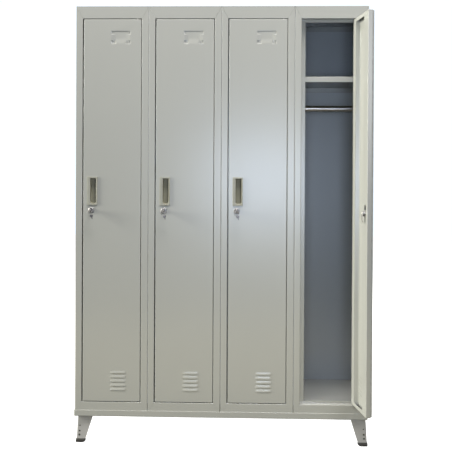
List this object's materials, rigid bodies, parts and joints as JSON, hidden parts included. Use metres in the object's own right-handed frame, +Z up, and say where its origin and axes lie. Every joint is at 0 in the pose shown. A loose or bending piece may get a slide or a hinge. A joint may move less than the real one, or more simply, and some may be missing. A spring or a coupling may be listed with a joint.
{
  "type": "locker cabinet",
  "caption": "Tall steel locker cabinet with side-hinged doors, recessed handles and cam locks, hat shelf and hanging rail in each column, on short folded legs.",
  "frame": {"origin": "on the floor, at the centre of the box round the cabinet as it stands with its fourth door open", "axes": "+Z up; the doors face -Y; +X to the right as one faces the doors"},
  "size_m": [1.2096, 0.717, 1.8],
  "materials": {
    "paint": "light grey powder coat, satin, faint orange peel",
    "inside_paint": "light grey powder coat, satin, inside the columns",
    "chrome": "bright chrome plate",
    "zinc_steel": "zinc plated steel, dull",
    "handle_plastic": "olive grey moulded plastic, satin",
    "black_plastic": "black moulded plastic, matt"
  },
  "bodies": {
    "cabinet": {"side_panel_left": "paint", "side_panel_right": "paint", "back_panel": "paint", "top_panel": "paint", "floor_panel": "inside_paint", "base_pan": "paint", "partition_1": "inside_paint", "partition_2": "inside_paint", "partition_3": "inside_paint", "leg_front_left": "paint", "leg_front_right": "paint", "leg_rear_left": "paint", "leg_rear_right": "paint", "shoe_front_left": "black_plastic", "shoe_front_right": "black_plastic", "shoe_rear_left": "black_plastic", "shoe_rear_right": "black_plastic", "door_frame_1": "paint", "shelf_1": "inside_paint", "hanging_rail_1": "chrome", "hinge_pin_lower_1": "zinc_steel", "hinge_pin_upper_1": "zinc_steel", "door_frame_2": "paint", "shelf_2": "inside_paint", "hanging_rail_2": "chrome", "hinge_pin_lower_2": "zinc_steel", "hinge_pin_upper_2": "zinc_steel", "door_frame_3": "paint", "shelf_3": "inside_paint", "hanging_rail_3": "chrome", "hinge_pin_lower_3": "zinc_steel", "hinge_pin_upper_3": "zinc_steel", "door_frame_4": "paint", "shelf_4": "inside_paint", "hanging_rail_4": "chrome", "hinge_pin_lower_4": "zinc_steel", "hinge_pin_upper_4": "zinc_steel"},
    "door_1": {"door_panel_1": "paint", "door_channel_1": "paint", "handle_1": "handle_plastic", "lock_housing_1": "chrome"},
    "door_2": {"door_panel_2": "paint", "door_channel_2": "paint", "handle_2": "handle_plastic", "lock_housing_2": "chrome"},
    "door_3": {"door_panel_3": "paint", "door_channel_3": "paint", "handle_3": "handle_plastic", "lock_housing_3": "chrome"},
    "door_4": {"door_panel_4": "paint", "door_channel_4": "paint", "handle_4": "handle_plastic", "lock_housing_4": "chrome"},
    "lock_1": {"lock_cam_1": "zinc_steel", "key_1": "chrome"},
    "lock_2": {"lock_cam_2": "zinc_steel", "key_2": "chrome"},
    "lock_3": {"lock_cam_3": "zinc_steel", "key_3": "chrome"},
    "lock_4": {"lock_cam_4": "zinc_steel"}
  },
  "joints": [
    {"name": "door_1_hinge", "type": "hinge", "parent": "cabinet", "child": "door_1", "pos_m": [-0.3473, -0.13754, 0.9595], "axis": [0, 0, 1], "range_deg": [0, 110]},
    {"name": "door_2_hinge", "type": "hinge", "parent": "cabinet", "child": "door_2", "pos_m": [-0.0473, -0.13754, 0.9595], "axis": [0, 0, 1], "range_deg": [0, 110]},
    {"name": "door_3_hinge", "type": "hinge", "parent": "cabinet", "child": "door_3", "pos_m": [0.2527, -0.13754, 0.9595], "axis": [0, 0, 1], "range_deg": [0, 110]},
    {"name": "door_4_hinge", "type": "hinge", "parent": "cabinet", "child": "door_4", "pos_m": [0.5527, -0.13754, 0.9595], "axis": [0, 0, 1], "range_deg": [-98, 12]},
    {"name": "lock_1_turn", "type": "hinge", "parent": "door_1", "child": "lock_1", "pos_m": [-0.5357, -0.14354, 0.96], "axis": [0, 1, 0], "range_deg": [0, 90]},
    {"name": "lock_2_turn", "type": "hinge", "parent": "door_2", "child": "lock_2", "pos_m": [-0.2357, -0.14354, 0.96], "axis": [0, 1, 0], "range_deg": [0, 90]},
    {"name": "lock_3_turn", "type": "hinge", "parent": "door_3", "child": "lock_3", "pos_m": [0.0643, -0.14354, 0.96], "axis": [0, 1, 0], "range_deg": [0, 90]},
    {"name": "lock_4_turn", "type": "hinge", "parent": "door_4", "child": "lock_4", "pos_m": [0.58486, -0.32327, 0.96], "axis": [-0.9903, -0.1392, 0], "range_deg": [0, 90]}
  ]
}
